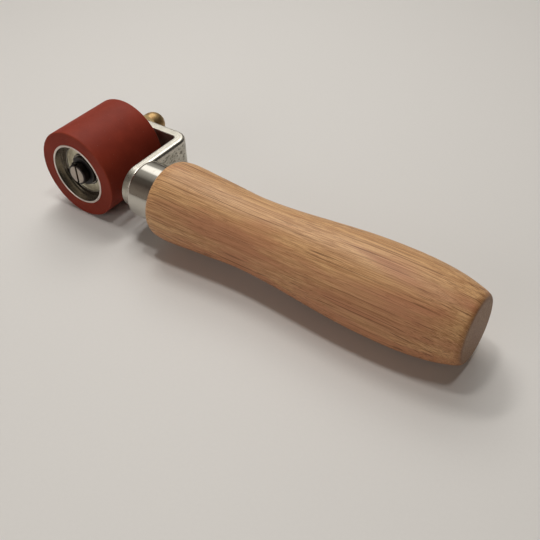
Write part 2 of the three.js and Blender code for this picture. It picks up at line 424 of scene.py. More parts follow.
def threadLift(share, pitch, first, last):
    # r loses a share of itself times a flat-topped tooth wave of (place / pitch - t / 2 pi), and the wave
    # fades at both ends
    def lift(r, place, t):
        wave = np.abs((place / pitch - t / (2 * np.pi)) % 1.0 - 0.5) * 2
        tooth = np.clip((wave - 0.12) / 0.76, 0, 1)
        fade = np.clip((place - first) / pitch, 0, 1) * np.clip((last - place) / pitch, 0, 1)
        return r * (1 - share * tooth * fade)
    return lift


def filled(outline, gap, closed=True):
    # the outline with points added on stretches longer than the gap
    ends = np.roll(outline, -1, 0) if closed else outline[1:]
    out = []
    for start, end in zip(outline, ends):
        count = max(1, int(np.linalg.norm((end - start)[:2]) / gap))
        out.append(start + (end - start) * np.linspace(0, 1, count, endpoint=False)[:, None])
    return np.vstack(out if closed else [*out, outline[-1:]])


def joined(name, meshes):
    # several meshes as one
    work = bmesh.new()
    for part in meshes:
        work.from_mesh(part)
        bpy.data.meshes.remove(part)
    made = bpy.data.meshes.new(name)
    work.to_mesh(made)
    work.free()
    return made


print("mesh makers ready")


# finishes for turned, ground and pressed metal; scales are patterns per millimetre
turned = {
    "metal": 1.0, "rough": (0.24, 0.42), "ringScale": (7.0, 7.0, 1.0), "ringShare": 0.5, "ringRelief": 2.0,
    "filmScale": 0.35, "grainScale": 6.0, "edgeShare": 0.8, "bump": 0.35, "reach": 0.00003,
}
zinc = {
    "metal": 0.85, "rough": (0.30, 0.50), "ringScale": (5.0, 3.0, 1.0), "ringShare": 0.35, "ringRelief": 1.6,
    "filmScale": 0.30, "grainScale": 5.0, "edgeShare": 0.6, "bump": 0.3,
}
pressed = {
    "ringScale": (3.0, 3.0, 1.0), "ringShare": 0.2, "ringRelief": 0.5, "edgeShare": 0.5, "reach": 0.00002,
}
finishes = {
    "turnedSteel": {
        "tone": (0.48, 0.42, 0.365), "dull": (0.35, 0.30, 0.255), "edgeTone": (0.75, 0.72, 0.68),
        "recessShade": [(0.160, 0.0), (0.168, 1.0)], "recessShadeTone": (0.045, 0.038, 0.038), "recessShadeRough": 0.42,
    },
    "plainSteel": {
        "tone": (0.52, 0.49, 0.46), "dull": (0.30, 0.28, 0.26), "edgeTone": (0.75, 0.72, 0.68),
        "rough": (0.22, 0.42),
    },
    "zincTube": {
        # the tube's tones are tinted pink: a painted reflection of the red sleeve beside it
        **zinc, "tone": (0.84, 0.76, 0.70), "dull": (0.62, 0.53, 0.48), "edgeTone": (0.92, 0.85, 0.79),
        "recessShade": [(0.5525, 1.0), (0.5545, 0.0)], "recessShadeTone": (0.25, 0.228, 0.175), "recessShadeRough": 0.13,
    },
    "screwZinc": {
        **zinc, "tone": (0.86, 0.82, 0.77), "dull": (0.62, 0.57, 0.53), "edgeTone": (0.95, 0.92, 0.88),
    },
    "bearingSteel": {
        # the races' steel is darker than the balls': painted shade for the races deep in the tube's bore
        "tone": (0.30, 0.28, 0.25), "dull": (0.17, 0.155, 0.14), "edgeTone": (0.62, 0.60, 0.52),
        "rough": (0.12, 0.26), "ringScale": (9.0, 9.0, 1.0), "ringShare": 0.4, "ringRelief": 1.2,
        "filmScale": 0.45, "grainScale": 8.0, "bump": 0.2, "reach": 0.00002,
    },
    "shieldSteel": {
        "tone": (0.78, 0.725, 0.56), "dull": (0.54, 0.50, 0.37), "edgeTone": (0.90, 0.86, 0.74), "metal": 0.85,
        "rough": (0.28, 0.46), "ringScale": (4.0, 4.0, 1.0), "ringShare": 0.3, "ringRelief": 0.8,
        "filmScale": 0.55, "grainScale": 7.0, "edgeShare": 0.4, "bump": 0.25, "reach": 0.00002,
    },
    "ballSteel": {
        "tone": (0.80, 0.80, 0.80), "dull": (0.68, 0.68, 0.69), "edgeTone": (0.85, 0.85, 0.85),
        "rough": (0.04, 0.10), "ringScale": (2.0, 2.0, 1.0), "ringShare": 0.1, "ringRelief": 0.2,
        "filmScale": 0.8, "grainScale": 9.0, "edgeShare": 0.0, "bump": 0.05, "reach": 0.00001,
    },
    "cageSteel": {
        **pressed, "tone": (0.62, 0.60, 0.57), "dull": (0.44, 0.42, 0.40), "edgeTone": (0.74, 0.72, 0.69),
        "rough": (0.26, 0.44), "filmScale": 0.9, "bump": 0.25,
    },
    "blackSteel": {
        **pressed, "tone": (0.016, 0.0145, 0.016), "dull": (0.032, 0.028, 0.027), "edgeTone": (0.13, 0.12, 0.10),
        "metal": 0.5, "rough": (0.34, 0.55), "filmScale": 0.8, "grainScale": 7.0,
    },
    "turnedBrass": {
        "tone": (0.47, 0.325, 0.145), "dull": (0.31, 0.185, 0.080), "edgeTone": (0.60, 0.46, 0.24),
        "rough": (0.40, 0.56), "ringScale": (5.0, 5.0, 1.0), "ringShare": 0.35, "ringRelief": 1.2,
        "filmScale": 0.40, "grainScale": 5.0, "edgeShare": 0.7, "bump": 0.3,
    },
}
recessShadeSpan = 20.0  # a painted recess shade's stops are radii from the axle over this


def metalMaterial(name):
    # circles left by the tool, a cloudy film, and brighter worn edges
    data = {**turned, **finishes[name]}
    made, tree = newMaterial(name)
    place = toolCoords(tree)
    rounds = roundCoords(tree, place)
    marks = noise(tree, rounds, data["ringScale"], 3.0, 0.6)
    film = noise(tree, place, data["filmScale"], 4.0, 0.6, 0.4)
    grain = noise(tree, place, data["grainScale"], 3.0, 0.6)
    tone = layered(tree, data["tone"], [
        (film, 0.35, 0.7, 1.0, data["dull"]),
        (marks, 0.35, 0.65, data["ringShare"], data["dull"]),
    ])
    tone = edgeTone(tree, tone, data["edgeShare"], data["edgeTone"])
    low, high = data["rough"]
    haze = timesPlus(tree, film, 0.6, times(tree, grain, 0.4))
    rough = ramp(tree, haze, [(0.3, low), (0.7, high)])
    # painted shade: in the roller's recess the axle's side, beyond its end face, and the tube's bore go
    # darker (the bore also glossier)
    if "recessShade" in data:
        inRecessShade = ramp(tree, sums(tree, "DIVIDE", split(tree, rounds)[0], recessShadeSpan), data["recessShade"])
        tone = mixTone(tree, inRecessShade, tone, data["recessShadeTone"])
        rough = mixTone(tree, inRecessShade, rough, (data["recessShadeRough"],) * 3)
    relief = timesPlus(tree, marks, data["ringRelief"], grain)
    surface(tree, tone, rough, relief, data["bump"], data["reach"], Metallic=data["metal"])
    return made


looks = {name: metalMaterial(name) for name in finishes}

silicone = {
    "tone": (0.262, 0.032, 0.0145), "deep": (0.205, 0.023, 0.0105), "groundMarkAndEdgeHighlight": (0.33, 0.060, 0.031),
    "dust": (0.45, 0.26, 0.20), "rough": (0.52, 0.70), "moteScale": 0.55,
}


def siliconeMaterial():
    # moulded and ground silicone: soft clouds, faint grinding circles, edges paler as a painted highlight,
    # and a little dust
    made, tree = newMaterial("brickSilicone")
    place = toolCoords(tree)
    ground = noise(tree, roundCoords(tree, place), (5.0, 5.0, 1.0), 3.0, 0.6)
    cloud = noise(tree, place, 0.10, 4.0, 0.6)
    grain = noise(tree, place, 3.5, 4.0, 0.65)
    motes = node(tree, "ShaderNodeTexVoronoi", Vector=place, Scale=silicone["moteScale"]).outputs["Distance"]
    tone = layered(tree, silicone["deep"], [
        (cloud, 0.35, 0.65, 1.0, silicone["tone"]),
        (ground, 0.4, 0.7, 0.25, silicone["groundMarkAndEdgeHighlight"]),
    ])
    # painted highlight: the sleeve's rounded edges come out paler
    tone = edgeTone(tree, tone, 0.45, silicone["groundMarkAndEdgeHighlight"])
    tone = mixTone(tree, ramp(tree, motes, [(0.0, 0.5), (0.09, 0.0)]), tone, silicone["dust"])
    low, high = silicone["rough"]
    rough = ramp(tree, grain, [(0.3, low), (0.7, high)])
    relief = timesPlus(tree, ground, 0.7, grain)
    surface(tree, tone, rough, relief, 0.3, 0.00004, Specular_IOR_Level=0.16)
    return made


beech = {
    "light": (0.74, 0.445, 0.210), "mid": (0.51, 0.262, 0.110), "dark": (0.270, 0.105, 0.038),
    "pore": (0.175, 0.068, 0.027), "rose": (0.520, 0.225, 0.112), "butt": (0.30, 0.170, 0.098),
    "ringGap": 2.2, "heartAcross": -34.0, "heartUp": -26.0, "rough": (0.42, 0.60), "buttAt": 152.0,
    "plankTurn": -31.0,
}


def beechMaterial():
    # solid wood: rings about a heart line beside the grip, long fibres, short ray flecks and dark pore lines
    made, tree = newMaterial("oiledBeech")
    place = toolCoords(tree)
    drift = noise(tree, place, (0.010, 0.10, 0.10), 3.0, 0.5)
    x, y, z = split(tree, place)
    acrossHeart = sums(tree, "SUBTRACT", y, beech["heartAcross"])
    upHeart = sums(tree, "SUBTRACT", z, beech["heartUp"])
    out = timesPlus(tree, drift, 7.0, distance(tree, acrossHeart, upHeart))
    ringAt = sums(tree, "FRACT", sums(tree, "DIVIDE", out, beech["ringGap"]))
    rings = ramp(tree, ringAt, [(0.0, 0.0), (0.60, 0.35), (0.88, 1.0), (1.0, 0.0)])
    # the plank lies turned about the grip: its grain is fine across the rings and slow along them
    turn = (math.radians(beech["plankTurn"]), 0.0, 0.0)
    plank = node(tree, "ShaderNodeMapping", Vector=place, Rotation=turn).outputs["Vector"]
    fibre = noise(tree, plank, (0.030, 3.4, 0.95), 5.0, 0.66, 0.15)
    fine = noise(tree, plank, (0.06, 7.5, 2.2), 3.0, 0.6)
    flecks = noise(tree, plank, (0.30, 5.5, 1.8), 2.0, 0.5, shift=(7.0, 3.0, 9.0))
    pores = noise(tree, plank, (0.008, 2.8, 0.5), 2.0, 0.5, shift=(3.0, 11.0, 5.0))
    patch = noise(tree, place, (0.022, 0.13, 0.13), 3.0, 0.5, shift=(1.0, 2.0, 8.0))
    # rose comes in random patches (the wood's own tone) and more towards the grip's near, lower side (a
    # painted shade tint)
    rosePatchAndShadeTint = timesPlus(tree, sums(tree, "ADD", acrossHeart, upHeart), -0.008, patch)
    tone = layered(tree, beech["mid"], [
        (fibre, 0.40, 0.57, 1.0, beech["light"]),
        (rosePatchAndShadeTint, 0.02, 0.20, 0.85, beech["rose"]),
    ])
    tone = mixTone(tree, times(tree, rings, 0.30), tone, beech["dark"])
    tone = layered(tree, tone, [
        (fine, 0.50, 0.66, 0.62, beech["dark"]),
        (flecks, 0.62, 0.70, 0.60, beech["dark"]),
        (pores, 0.61, 0.67, 0.75, beech["pore"]),
    ])
    onButt = ramp(tree, sums(tree, "SUBTRACT", x, beech["buttAt"]), [(0.0, 0.0), (0.25, 1.0)])
    tone = mixTone(tree, times(tree, onButt, 0.72), tone, beech["butt"])
    tone = edgeTone(tree, tone, 0.40, beech["dark"])
    low, high = beech["rough"]
    rough = ramp(tree, fibre, [(0.3, high), (0.7, low)])
    relief = timesPlus(tree, pores, -1.4, timesPlus(tree, fine, -0.6, fibre))
    surface(tree, tone, rough, relief, 0.22, 0.00012, Specular_IOR_Level=0.32, Coat_Weight=0.03,
            Coat_Roughness=0.30)
    return made


plating = {
    "bright": (0.56, 0.535, 0.47), "film": (0.38, 0.36, 0.305), "stain": (0.12, 0.11, 0.09),
    "rough": (0.22, 0.42), "edge": (0.66, 0.63, 0.56), "bend": (20.9, 14.6), "backAt": 25.9,
}


def platingMaterial():
    # bright plating over a rolled bar: cloudy film, scratches two ways, and small dull marks on the plate
    made, tree = newMaterial("brightPlating")
    place = toolCoords(tree)
    film = noise(tree, place, 0.22, 5.0, 0.62, 0.5)
    grain = noise(tree, place, 4.0, 4.0, 0.65)
    upMarks = noise(tree, place, (5.0, 5.0, 0.25), 2.0, 0.6)
    sideMarks = noise(tree, place, (0.3, 0.3, 6.0), 2.0, 0.6, shift=(4.0, 1.0, 2.0))
    spots = noise(tree, place, (0.9, 0.9, 1.2), 3.0, 0.55, shift=(2.0, 6.0, 3.0))
    x, y, z = split(tree, place)
    onBack = ramp(tree, sums(tree, "SUBTRACT", x, plating["backAt"]), [(0.0, 0.0), (0.4, 1.0)])
    # how far through the bar: the distance from the bend's centre line, counting only what lies outside it
    bendX, bendY = plating["bend"]
    outX = sums(tree, "MAXIMUM", sums(tree, "SUBTRACT", x, bendX), 0.0)
    outY = sums(tree, "MAXIMUM", sums(tree, "SUBTRACT", y, bendY), 0.0)
    rolled = combined(tree, X=distance(tree, outX, outY), Z=z)
    lines = noise(tree, rolled, (1.8, 1.0, 0.12), 2.0, 0.6)
    marks = times(tree, ramp(tree, spots, [(0.56, 0.0), (0.60, 1.0)]),
                 timesPlus(tree, onBack, 0.75, 0.04))
    tone = layered(tree, plating["bright"], [
        (film, 0.36, 0.66, 1.0, plating["film"]),
        (lines, 0.42, 0.60, 0.75, plating["film"]),
    ])
    tone = mixTone(tree, marks, tone, plating["stain"])
    tone = edgeTone(tree, tone, 0.5, plating["edge"])
    low, high = plating["rough"]
    haze = timesPlus(tree, film, 0.5, times(tree, grain, 0.5))
    haze = timesPlus(tree, marks, 0.3, haze)
    rough = ramp(tree, haze, [(0.32, low), (0.8, high)])
    relief = sums(tree, "ADD", timesPlus(tree, upMarks, 1.2, grain),
                  timesPlus(tree, sideMarks, 0.8, times(tree, marks, -2.0)))
    surface(tree, tone, rough, relief, 0.18, 0.00004, Metallic=0.95)
    return made


ferruleFinish = {
    "bright": (0.55, 0.525, 0.475), "dull": (0.47, 0.44, 0.39), "smear": (0.38, 0.33, 0.28),
    "rough": (0.03, 0.09),
}


def ferruleMaterial():
    # drawn and polished cap: drawing lines along it, faint circles, finger smears
    made, tree = newMaterial("polishedCap")
    place = toolCoords(tree)
    rings = noise(tree, roundCoords(tree, place, "grip"), (1.0, 5.0, 1.0), 3.0, 0.6)
    drawn = noise(tree, place, (0.25, 5.0, 5.0), 3.0, 0.6)
    smear = noise(tree, place, 0.28, 5.0, 0.6, 0.8)
    tone = layered(tree, ferruleFinish["bright"], [
        (rings, 0.4, 0.7, 0.4, ferruleFinish["dull"]),
        (smear, 0.55, 0.75, 0.35, ferruleFinish["smear"]),
    ])
    low, high = ferruleFinish["rough"]
    rough = ramp(tree, timesPlus(tree, smear, 0.7, times(tree, drawn, 0.3)),
                 [(0.35, low), (0.7, high)])
    surface(tree, tone, rough, sums(tree, "ADD", rings, drawn), 0.12, 0.00002, Metallic=1.0)
    return made


looks["silicone"] = siliconeMaterial()
looks["beech"] = beechMaterial()
looks["plating"] = platingMaterial()
looks["ferrule"] = ferruleMaterial()
print("finishes ready")

tube = {"outer": 11.85, "seat": 11.04, "inner": 9.8, "half": 14.0, "shoulderHalf": 2.95, "lip": 0.22}


def buildTube():
    # a ring profile with a shoulder in the middle of its bore, which the bearings seat against
    half, lip, step = tube["half"], tube["lip"], tube["shoulderHalf"]
    outer, seat, inner = tube["outer"], tube["seat"], tube["inner"]
    corners = [(outer, -half, lip), (outer, half, lip), (seat, half, lip), (seat, step, 0.1),
               (inner, step, 0.3), (inner, -step, 0.3), (seat, -step, 0.1), (seat, -half, lip)]
    mesh = spun("coreTube", filled(softOutline(corners), 1.5), "axle", 192)
    piece("coreTube", mesh, "roller", "zincTube", "core_tube")


sleeve = {"radius": 17.0, "half": 14.0, "round": 0.5, "lip": 0.25, "turns": 256}


def buildSleeve():
    # a ring profile: the rolling face, two flat ends with soft edges, and a bore on the tube
    r, half, bore = sleeve["radius"], sleeve["half"], tube["outer"] + 0.02
    corners = [(r, -half, sleeve["round"]), (r, half, sleeve["round"]), (bore, half, sleeve["lip"]),
               (bore, -half, sleeve["lip"])]
    mesh = spun("siliconeSleeve", filled(softOutline(corners, steps=8), 0.8), "axle", sleeve["turns"])
    piece("siliconeSleeve", mesh, "roller", "silicone", "rubber_sleeve")


bearing = {
    "bore": 4.03, "innerLand": 6.0, "outerLand": 9.2, "outside": 11.0, "half": 3.5, "pitch": 7.5,
    "track": 2.1, "corner": 0.35, "ball": 1.985, "balls": 7, "centre": 6.5,
}
shield = {"inner": 6.25, "step": 8.05, "bead": 8.62, "outer": 9.14, "out": 3.05, "deep": 0.17, "thick": 0.3}
cage = {"pocket": 2.26, "flat": 0.15, "thick": 0.26, "halfWide": 0.4, "rivet": 0.42}


def ballTrack(facing, land, centre):
    # the groove: an arc of the track radius about the ball's centre, cut off where it meets the land
    rise = math.acos(abs(land - bearing["pitch"]) / bearing["track"])
    turn = np.linspace(-rise, rise, 19)
    r = bearing["pitch"] + facing * bearing["track"] * np.cos(turn)
    return [(a, b, 0.0) for a, b in zip(r, centre + bearing["track"] * np.sin(turn))]


def buildRace(name, node, body, facing, land, back, turns, centre):
    # a ring section: the land with its ball track, and the back with two rounded corners
    low, high = centre - bearing["half"], centre + bearing["half"]
    corners = [(land, low, 0.12), *ballTrack(facing, land, centre), (land, high, 0.12),
               (back, high, bearing["corner"]), (back, low, bearing["corner"])]
    mesh = spun(name, filled(softOutline(corners, margin=0.02), 0.8), "axle", turns)
    piece(name, mesh, body, "bearingSteel", node)


def buildShield(name, node, facing, centre):
    # a pressed disc: flat, a sunk bead near its rim, and the rim that snaps into the race
    out, sunk = shield["out"], shield["out"] - shield["deep"]
    line = [(shield["inner"], out - 0.1), (shield["inner"] + 0.3, out), (shield["step"], out),
            (shield["step"] + 0.2, sunk), (shield["bead"], sunk), (shield["bead"] + 0.2, out),
            (shield["outer"], out)]
    line = [(r, centre + facing * p) for r, p in line]
    mesh = spun(name, filled(sheetOutline(line, shield["thick"]), 0.5), "axle", 160)
    piece(name, mesh, "roller", "shieldSteel", node, sharp=40)


def cageRibbon(facing, centre):
    # one pressed ribbon: its middle line (s along the pitch circle, h from the middle plane) is flat
    # between the balls and a half circle over each. A rounded section is carried along it, and s turns
    # into an angle.
    pitch, count, pocket = bearing["pitch"], bearing["balls"], cage["pocket"]
    share = 2 * math.pi * pitch / count
    over = np.radians(np.linspace(160, 20, 29))
    bump = [(pocket * math.cos(a), pocket * math.sin(a), 0.0) for a in over]
    line = softOutline([(-share / 2, cage["flat"], 0), (-pocket * 0.99, cage["flat"], 0.3), *bump,
                        (pocket * 0.99, cage["flat"], 0.3), (share / 2, cage["flat"], 0)],
                       closed=False, steps=4, margin=0.02)[:-1, :2]
    line = np.vstack([line + [i * share, 0] for i in range(count)])
    ahead, behind = np.roll(line, -1, 0), np.roll(line, 1, 0)
    ahead[-1, 0] += share * count
    behind[0, 0] -= share * count
    along = (ahead - behind) / np.linalg.norm(ahead - behind, axis=1)[:, None]
    wide, thin = cage["halfWide"], cage["thick"] / 2
    corners = [(-wide, -thin, 0.06), (wide, -thin, 0.06), (wide, thin, 0.06), (-wide, thin, 0.06)]
    section = softOutline(corners, steps=2, margin=0.03)
    s = line[:, :1] - along[:, 1:] * section[None, :, 1]
    h = line[:, 1:] + along[:, :1] * section[None, :, 1]
    r = pitch + section[None, :, 0] + 0 * s
    points = np.stack([r * np.sin(s / pitch), centre + facing * h, r * np.cos(s / pitch)], -1)
    return gridMesh("ribbon", points, wrapRows=True)


def rivetMesh(turn, reach, centre):
    # one rivet between two balls: a barrel with a low dome at each end, round the axle's direction
    r = np.array([0, 0.5, 0.85, 1.0, 1.0, 0.85, 0.5, 0]) * cage["rivet"]
    h = np.array([-1, -0.96, -0.85, -0.7, 0.7, 0.85, 0.96, 1]) * reach
    t = circle(16)
    x = bearing["pitch"] * math.sin(turn) + r[:, None] * np.cos(t)
    z = bearing["pitch"] * math.cos(turn) + r[:, None] * np.sin(t)
    return gridMesh("rivet", np.stack([x, centre + np.repeat(h[:, None], 16, 1), z], -1))


def buildCage(side, centre):
    step = 2 * math.pi / bearing["balls"]
    rivets = [rivetMesh((i + 0.5) * step, 0.52, centre) for i in range(bearing["balls"])]
    mesh = joined(side + "BallCage", [cageRibbon(1, centre), cageRibbon(-1, centre), *rivets])
    piece(mesh.name, mesh, side + "_ball_set", "cageSteel", side + "_ball_cage")


def buildBall(side, index, centre):
    # x = R sin p cos t, y = R cos p, z = R sin p sin t about the ball's centre
    p = np.linspace(0, np.pi, 33)[:, None]
    t = circle(48)
    turn = 2 * math.pi * index / bearing["balls"]
    flat = bearing["ball"] * np.sin(p)
    points = np.stack([bearing["pitch"] * math.sin(turn) + flat * np.cos(t),
                       centre + bearing["ball"] * np.cos(p) + 0 * t,
                       bearing["pitch"] * math.cos(turn) + flat * np.sin(t)], -1)
    name, node = f"{side}Ball{index + 1}", f"{side}_ball_{index + 1}"
    mesh = gridMesh(name, points)
    piece(name, mesh, side + "_ball_set", "ballSteel", node, sharp=60)


def buildBearing(side, facing):
    centre = facing * bearing["centre"]
    buildRace(side + "InnerRace", side + "_inner_race", "frame", -1, bearing["innerLand"], bearing["bore"],
              144, centre)
    buildRace(side + "OuterRace", side + "_outer_race", "roller", 1, bearing["outerLand"],
              bearing["outside"], 176, centre)
    buildShield(side + "OutboardShield", side + "_outboard_shield", facing, centre)
    buildShield(side + "InboardShield", side + "_inboard_shield", -facing, centre)
    buildCage(side, centre)
    for index in range(bearing["balls"]):
        buildBall(side, index, centre)


buildTube()
buildSleeve()
buildBearing("near", -1)
buildBearing("far", 1)
print("roller and bearings built")

spacer = {"bore": 4.03, "outer": 6.0, "lip": 0.3, "betweenRaces": (-2.95, 2.95), "besideArm": (10.05, 15.9)}


def buildSpacer(name, node, low, high):
    corners = [(spacer["outer"], low, spacer["lip"]), (spacer["outer"], high, spacer["lip"]),
               (spacer["bore"], high, 0.2), (spacer["bore"], low, 0.2)]
    mesh = spun(name, filled(softOutline(corners), 1.0), "axle", 96)
    piece(name, mesh, "frame", "plainSteel", node)


axle = {
    "radius": 4.0, "end": -14.0, "chamfer": 0.5, "groove": 3.7, "grooveLow": -11.22, "grooveHigh": -10.08,
    "shoulder": 15.98, "stub": 3.0, "stubEnd": 27.6, "pitch": 1.0, "tooth": 0.17,
    "threadFrom": 16.4, "slotWide": 0.9, "slotDeep": 1.3, "slotLip": 0.12,
}


def buildAxle():
    # a turned profile with a ring groove, a shoulder and a screwed stub; the slot is cut across its end
    r, end, stub, step = axle["radius"], axle["end"], axle["stub"], axle["shoulder"]
    groove, low, high = axle["groove"], axle["grooveLow"], axle["grooveHigh"]
    body = softOutline([(0, end, 0), (r, end, axle["chamfer"]), (r, low, 0.06), (groove, low, 0.06),
                        (groove, high, 0.06), (r, high, 0.06), (r, step, 0.2), (stub, step, 0.08),
                        (stub, axle["threadFrom"], 0)], closed=False, margin=0.03)
    thread = marked([(stub, p) for p in np.arange(axle["threadFrom"] + 0.05, axle["stubEnd"] - 0.5, 0.07)])
    tip = marked([(stub - 0.5, axle["stubEnd"]), (0, axle["stubEnd"])])
    profile = filled(np.vstack([body, thread, tip]), 1.5, closed=False)
    lift = threadLift(axle["tooth"], axle["pitch"], axle["threadFrom"] + 0.2, axle["stubEnd"])
    mesh = spun("axle", profile, "axle", 112, lift)
    wide, deep, lip = axle["slotWide"] / 2, end + axle["slotDeep"], axle["slotLip"]
    slot = [(-wide - 2 * lip, end - lip), (wide + 2 * lip, end - lip), (wide, end + lip), (wide, deep),
            (-wide, deep), (-wide, end + lip)]
    cutter = prismMesh(slot, -2 * r, 2 * r, lambda a, b, c: np.stack([a, b, c], -1))
    piece("slottedAxle", carve(mesh, cutter), "frame", "turnedSteel", "axle")


ring = {
    "inner": 3.74, "outer": 5.5, "low": -11.15, "high": -10.15, "gapAt": 150.0, "gapHalf": 12.0, "tip": 2.5,
}


def buildRing():
    # an open ring: a section with rounded edges carried round its angle, narrowing a little at each end
    first, last = ring["gapAt"] + ring["gapHalf"], ring["gapAt"] - ring["gapHalf"] + 360
    inner, outer = ring["inner"], ring["outer"]
    low, high = ring["low"], ring["high"]
    corners = [(0, low, 0.12), (1, low, 0.12), (1, high, 0.12), (0, high, 0.12)]
    flat = softOutline(corners, steps=4, margin=0.02)
    turn = np.concatenate([np.linspace(first, first + 6, 16)[:-1], np.linspace(first + 6, last - 6, 150),
                           np.linspace(last - 6, last, 16)[1:]])
    fromEnd = np.clip(np.minimum(turn - first, last - turn) / ring["tip"], 0, 1)
    ease = (1 - np.sqrt(1 - (1 - fromEnd) ** 2))[:, None] * 0.3
    turn = np.radians(turn)[:, None]
    r = inner + (outer - inner) * (flat[None, :, 0] + (0.5 - flat[None, :, 0]) * ease)
    points = np.stack([r * np.cos(turn), np.repeat(flat[None, :, 1], len(turn), 0), r * np.sin(turn)], -1)
    shut = [np.repeat(points[i].mean(0)[None, None, :], len(flat), 1) for i in (0, -1)]
    edge = np.repeat(flat[None, :, 2], len(turn) + 2, 0)
    mesh = gridMesh("ring", np.concatenate([shut[0], points, shut[1]]), edge=edge)
    piece("retainingRing", mesh, "frame", "blackSteel", "retaining_ring")


nut = {
    "base": 20.12, "apex": 32.25, "flats": 10.0, "corner": 6.3, "hexHigh": 5.0, "dome": 4.75, "bore": 3.04,
    "boreDeep": 8.6, "bevel": 60,
}


def buildNut():
    # r = the lesser of a turned profile and the hexagon 5 / cos(angle from the nearest flat's middle)
    base, dome, across = nut["base"], nut["dome"], nut["flats"] / 2
    bore, top = nut["bore"], base + nut["hexHigh"]
    slope = math.tan(math.radians(nut["bevel"]))
    rise = np.linspace(0, 1.1, 18)
    foot = [(dome + h * slope, base + h) for h in rise[rise * slope + dome < nut["corner"]]]
    crown = [(r, 2 * base + nut["hexHigh"] - p) for r, p in foot[::-1]]
    over = np.linspace(0, np.pi / 2, 24)
    cap = [(dome * math.cos(a), nut["apex"] - dome + dome * math.sin(a)) for a in over]
    drilled = [(0, base + nut["boreDeep"] + 1.2), (bore, base + nut["boreDeep"]), (bore, base + 0.4),
               (bore + 0.4, base)]
    profile = np.vstack([marked(drilled), marked(foot, 0.7), marked(crown, 0.7), marked([(dome, top + 0.1)]),
                         marked(cap)])
    profile[-1, 0] = 0

    def hexagon(r, place, t):
        flat = (t + math.radians(30)) % math.radians(60) - math.radians(30)
        return np.minimum(r, across / np.cos(flat))

    mesh = spun("capNut", filled(profile, 0.6, closed=False), "axle", 192, hexagon)
    piece("brassCapNut", mesh, "frame", "turnedBrass", "cap_nut", sharp=28)


buildSpacer("bearingSpacer", "bearing_spacer", *spacer["betweenRaces"])
buildSpacer("armSpacer", "arm_spacer", *spacer["besideArm"])
buildAxle()
buildRing()
buildNut()
print("axle, ring and nut built")

bar = {
    "thick": 4.0, "half": 8.0, "bendInside": 1.5, "armFace": 16.1, "plateFace": 22.4, "innerRound": 0.4,
    "outerRound": 1.3, "axleHole": 3.08, "screwHole": 2.45, "sink": 4.85, "sinkDeep": 2.7, "lip": 0.2,
    "holeReach": 7.0, "straightReach": 14.0,
}


def barShape():
    # how long the flat bar is: to the start of its bend, along the middle of the bend, and on to the screw
    bendAt = bar["plateFace"] - bar["bendInside"]
    bendLong = (bar["bendInside"] + bar["thick"] / 2) * math.pi / 2
    return bendAt, bendLong, bendAt + bendLong + bar["armFace"] - bar["bendInside"] - gripAcross


def bendBar(u, v, n):
    # the flat bar (u along, v across, n through) bent square: an arc of radius bendInside + n about the
    # bend's centre, then straight on
    bendAt, bendLong, _ = barShape()
    turn = np.clip((u - bendAt) / bendLong, 0, 1) * np.pi / 2
    radial = bar["bendInside"] + n
    x = np.minimum(u, bendAt) + radial * np.sin(turn)
    y = bar["armFace"] - bar["bendInside"] + radial * np.cos(turn) - np.maximum(u - bendAt - bendLong, 0)
    return np.stack([x, y, v], -1)


def barRim():
    # stations round the bar's outline: u, v, the way inwards, and what the inner side needs there
    _, _, far = barShape()
    hole, wide = bar["holeReach"], bar["half"]
    along = np.concatenate([np.linspace(0, hole, 28)[1:], np.linspace(hole, far - hole, 150)[1:],
                            np.linspace(far - hole, far, 28)[1:-1]])
    cap = np.linspace(np.pi / 2, 3 * np.pi / 2, 73)
    u = np.concatenate([wide * np.cos(cap), along, far - wide * np.cos(cap), along[::-1]])
    v = np.concatenate([wide * np.sin(cap), 0 * along - wide, -wide * np.sin(cap), 0 * along + wide])
    inU = np.concatenate([-np.cos(cap), 0 * along, np.cos(cap), 0 * along])
    inV = np.concatenate([-np.sin(cap), 0 * along + 1, np.sin(cap), 0 * along - 1])
    return u, v, inU, inV


def barInside(armHole, plateHole):
    # the inner contour: each hole's circle near its end, and the bar's middle line between them
    _, _, far = barShape()
    u, v, inU, inV = barRim()
    hole, straight = bar["holeReach"], bar["straightReach"]
    q = np.interp(u, [hole, straight, far - straight, far - hole],
                  [armHole, straight, far - straight, far - plateHole])
    w = 0 * u
    for start, way, radius in ((0, 1, armHole), (far, -1, plateHole)):
        fromEnd = way * (u - start)
        quarter = np.clip(fromEnd / hole, 0, 1) * np.pi / 2
        onCap = (np.abs(inU) > 1e-9) & (fromEnd <= 0)
        along = np.where(onCap, -way * inU, np.sin(quarter)) * radius
        q = np.where(fromEnd <= hole, start + way * along, q)
        w = np.where(fromEnd <= hole, -inV * radius * np.cos(quarter), w)
    return q, w


